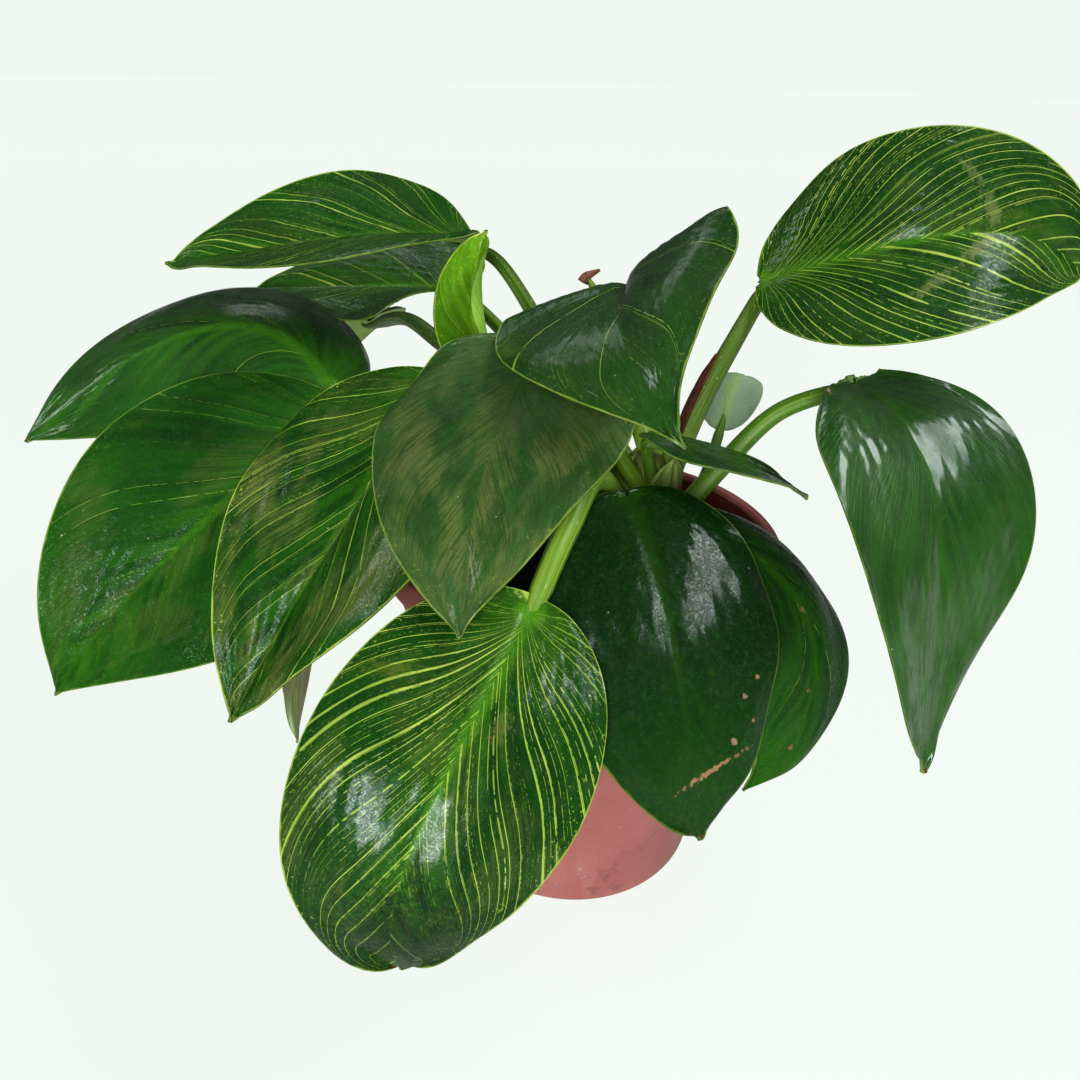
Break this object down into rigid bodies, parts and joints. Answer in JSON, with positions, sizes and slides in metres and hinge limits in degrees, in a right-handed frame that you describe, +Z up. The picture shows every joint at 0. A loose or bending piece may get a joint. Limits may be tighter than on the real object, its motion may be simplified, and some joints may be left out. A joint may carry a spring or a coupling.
{
  "type": "potted philodendron birkin plant",
  "caption": "Compact philodendron with glossy dark green leaves striped in yellow-green, in a small tapered terracotta-coloured nursery pot.",
  "frame": {"origin": "middle of the pot's flat underside, at the surface the pot stands on", "axes": "+Z up; -Y towards the front, where the largest striped leaf hangs over the rim; +X to the plant's right as seen from the front"},
  "size_m": [0.328, 0.2619, 0.2273],
  "materials": {
    "pot_plastic": "thin moulded plastic, terracotta pink, satin",
    "potting_mix": "loose dark peat mix with fibres, matt",
    "bark": "dry bark, matt",
    "stem": "green with brown scale rings, satin",
    "leaf": "dark glossy green with fine yellow-green stripes and a thin pale margin; the underside is dull grey-green",
    "new_leaf": "soft lime green, satin",
    "leaf_stalk": "smooth yellow-green, satin",
    "dried_scale": "dry brown membrane, matt"
  },
  "bodies": {
    "root": {"nursery_pot": "pot_plastic", "potting_soil": "potting_mix", "bark_chip_1": "bark", "bark_chip_2": "bark", "bark_chip_3": "bark", "bark_chip_4": "bark", "bark_chip_5": "bark", "stem": "stem", "blade_back_left_high": "leaf", "stalk_back_left_high": "leaf_stalk", "blade_back_left_low": "leaf", "stalk_back_left_low": "leaf_stalk", "blade_back_hanging": "leaf", "stalk_back_hanging": "leaf_stalk", "blade_new_centre": "new_leaf", "stalk_new_centre": "leaf_stalk", "blade_left_upper": "leaf", "stalk_left_upper": "leaf_stalk", "blade_left_lower": "leaf", "stalk_left_lower": "leaf_stalk", "blade_left_front": "leaf", "stalk_left_front": "leaf_stalk", "blade_centre": "leaf", "stalk_centre": "leaf_stalk", "blade_top_curled": "leaf", "stalk_top_curled": "leaf_stalk", "blade_right_high": "leaf", "stalk_right_high": "leaf_stalk", "blade_right_hanging": "leaf", "stalk_right_hanging": "leaf_stalk", "blade_front": "leaf", "stalk_front": "leaf_stalk", "blade_front_right": "leaf", "stalk_front_right": "leaf_stalk", "blade_right_low": "leaf", "stalk_right_low": "leaf_stalk", "blade_right_thin": "leaf", "stalk_right_thin": "leaf_stalk", "blade_back_small": "leaf", "stalk_back_small": "leaf_stalk", "blade_left_behind": "leaf", "stalk_left_behind": "leaf_stalk", "dried_scale": "dried_scale", "leaf_spear": "dried_scale"}
  },
  "joints": []
}
